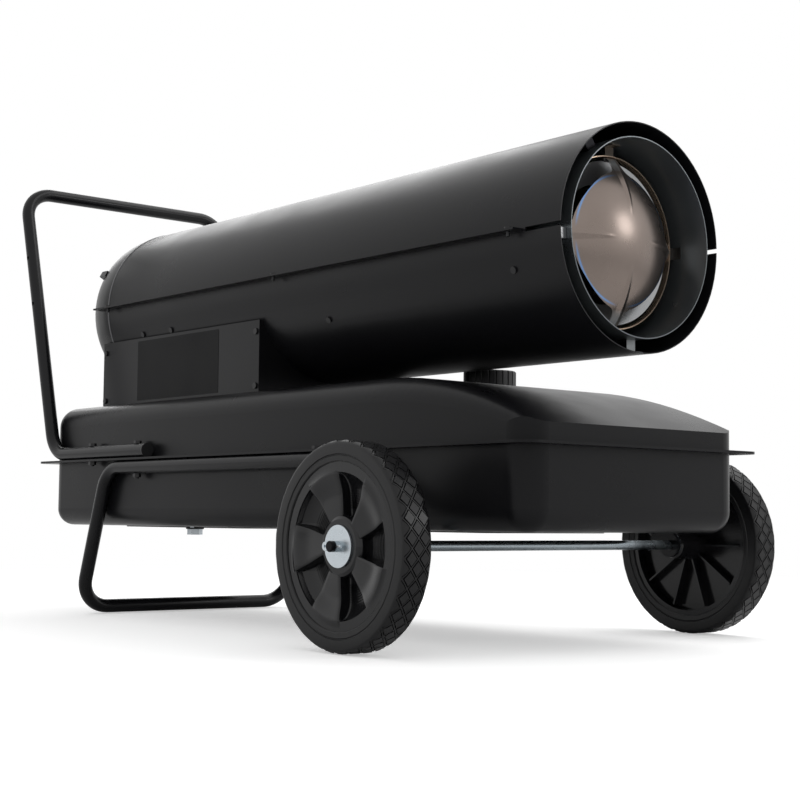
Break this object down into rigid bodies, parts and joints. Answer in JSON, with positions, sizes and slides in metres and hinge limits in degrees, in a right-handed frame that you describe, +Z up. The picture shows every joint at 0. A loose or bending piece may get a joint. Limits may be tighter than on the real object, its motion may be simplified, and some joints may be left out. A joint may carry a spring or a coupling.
{
  "type": "forced air heater",
  "caption": "Portable wheeled oil-fired forced air heater: horizontal drum with hot outlet, flanged fuel tank, tube handle and stand, side control box.",
  "frame": {"origin": "middle of the bounding box on the floor", "axes": "+X along the drum towards the hot outlet, +Z up, +Y towards the side with the controls"},
  "size_m": [1.176, 0.632, 0.678],
  "materials": {
    "black_powder_coat": "satin black powder coat",
    "black_tank_paint": "satin black enamel",
    "zinc": "bright zinc plate",
    "stainless": "heat-tinted stainless sheet",
    "galvanised": "galvanised sheet",
    "heat_steel": "heat-blued steel sheet",
    "rubber_tyre": "matte solid rubber",
    "hub_plastic": "semi-gloss moulded plastic",
    "black_plastic": "moulded plastic",
    "black_screws": "black oxide",
    "aluminium_casting": "die-cast aluminium",
    "motor_paint": "dark enamel",
    "brass": "machined brass",
    "ceramic": "glazed ceramic",
    "hose_rubber": "black rubber",
    "seal_rubber": "nitrile rubber",
    "strainer_plastic": "natural nylon",
    "board": "circuit board",
    "clear_window": "smoked clear plastic"
  },
  "bodies": {
    "machine": {"upper_shell": "black_powder_coat", "lower_shell": "black_powder_coat", "seam_screws": "black_screws", "skin_screws": "black_screws", "rear_guard": "black_powder_coat", "guard_clips": "black_screws", "heat_shield": "heat_steel", "shield_brackets": "galvanised", "front_spacers": "zinc", "flame_tube": "heat_steel", "tube_brackets": "galvanised", "flame_cone": "stainless", "flame_diffuser": "stainless", "chamber_head": "heat_steel", "burner_head": "aluminium_casting", "spray_nozzle": "brass", "igniter": "ceramic", "photocell": "black_plastic", "fan_motor": "motor_paint", "motor_bracket": "galvanised", "air_pump": "aluminium_casting", "pump_cover": "aluminium_casting", "pressure_gauge": "black_plastic", "air_hose": "hose_rubber", "fuel_hose": "hose_rubber", "fuel_pickup": "brass", "tank_upper": "black_tank_paint", "tank_lower": "black_tank_paint", "filler_neck": "black_tank_paint", "filler_strainer": "strainer_plastic", "drain_washer": "seal_rubber", "drain_plug": "zinc", "handle": "black_powder_coat", "handle_end_plugs": "black_plastic", "support_frame": "black_powder_coat", "frame_bolts": "black_screws", "frame_nuts": "black_screws", "axle": "zinc", "axle_washers": "zinc", "cotter_pins": "zinc", "control_box": "black_powder_coat", "near_cover": "black_powder_coat", "far_cover": "black_powder_coat", "cover_screws": "black_screws", "control_board": "board", "ignition_transformer": "black_plastic", "thermostat": "black_plastic", "panel_fittings": "black_plastic", "display_window": "clear_window"},
    "near_wheel": {"near_hub": "hub_plastic", "near_tyre": "rubber_tyre"},
    "far_wheel": {"far_hub": "hub_plastic", "far_tyre": "rubber_tyre"},
    "rotor": {"motor_shaft": "zinc", "fan": "aluminium_casting", "pump_rotor": "aluminium_casting"},
    "gasket": {"cap_gasket": "seal_rubber"},
    "cap": {"fuel_cap": "black_plastic"},
    "knob": {"thermostat_knob": "black_plastic"},
    "rocker": {"rocker_switch": "black_plastic"}
  },
  "joints": [
    {"name": "near_wheel_spin", "type": "hinge", "parent": "machine", "child": "near_wheel", "pos_m": [0.412, -0.287, 0.1143], "axis": [0, 1, 0], "continuous": true},
    {"name": "far_wheel_spin", "type": "hinge", "parent": "machine", "child": "far_wheel", "pos_m": [0.412, 0.287, 0.1143], "axis": [0, 1, 0], "continuous": true},
    {"name": "fan_spin", "type": "hinge", "parent": "machine", "child": "rotor", "pos_m": [-0.152, 0, 0.464], "axis": [1, 0, 0], "continuous": true},
    {"name": "cap_lift", "type": "slide", "parent": "machine", "child": "gasket", "axis": [0, 0, 1], "range_m": [0, 0.009]},
    {"name": "cap_turn", "type": "hinge", "parent": "gasket", "child": "cap", "pos_m": [0.204, 0.112, 0.33], "axis": [0, 0, 1], "range_deg": [0, 1080]},
    {"name": "thermostat_turn", "type": "hinge", "parent": "machine", "child": "knob", "pos_m": [-0.11, 0.135, 0.362], "axis": [0, -1, 0], "range_deg": [0, 280]},
    {"name": "power_rocker", "type": "hinge", "parent": "machine", "child": "rocker", "pos_m": [-0.19, 0.1245, 0.362], "axis": [1, 0, 0], "range_deg": [-9, 9]}
  ],
  "couplings": [
    {"joint": "cap_lift", "follows": "cap_turn", "m_per_rad": 0.00047746}
  ]
}
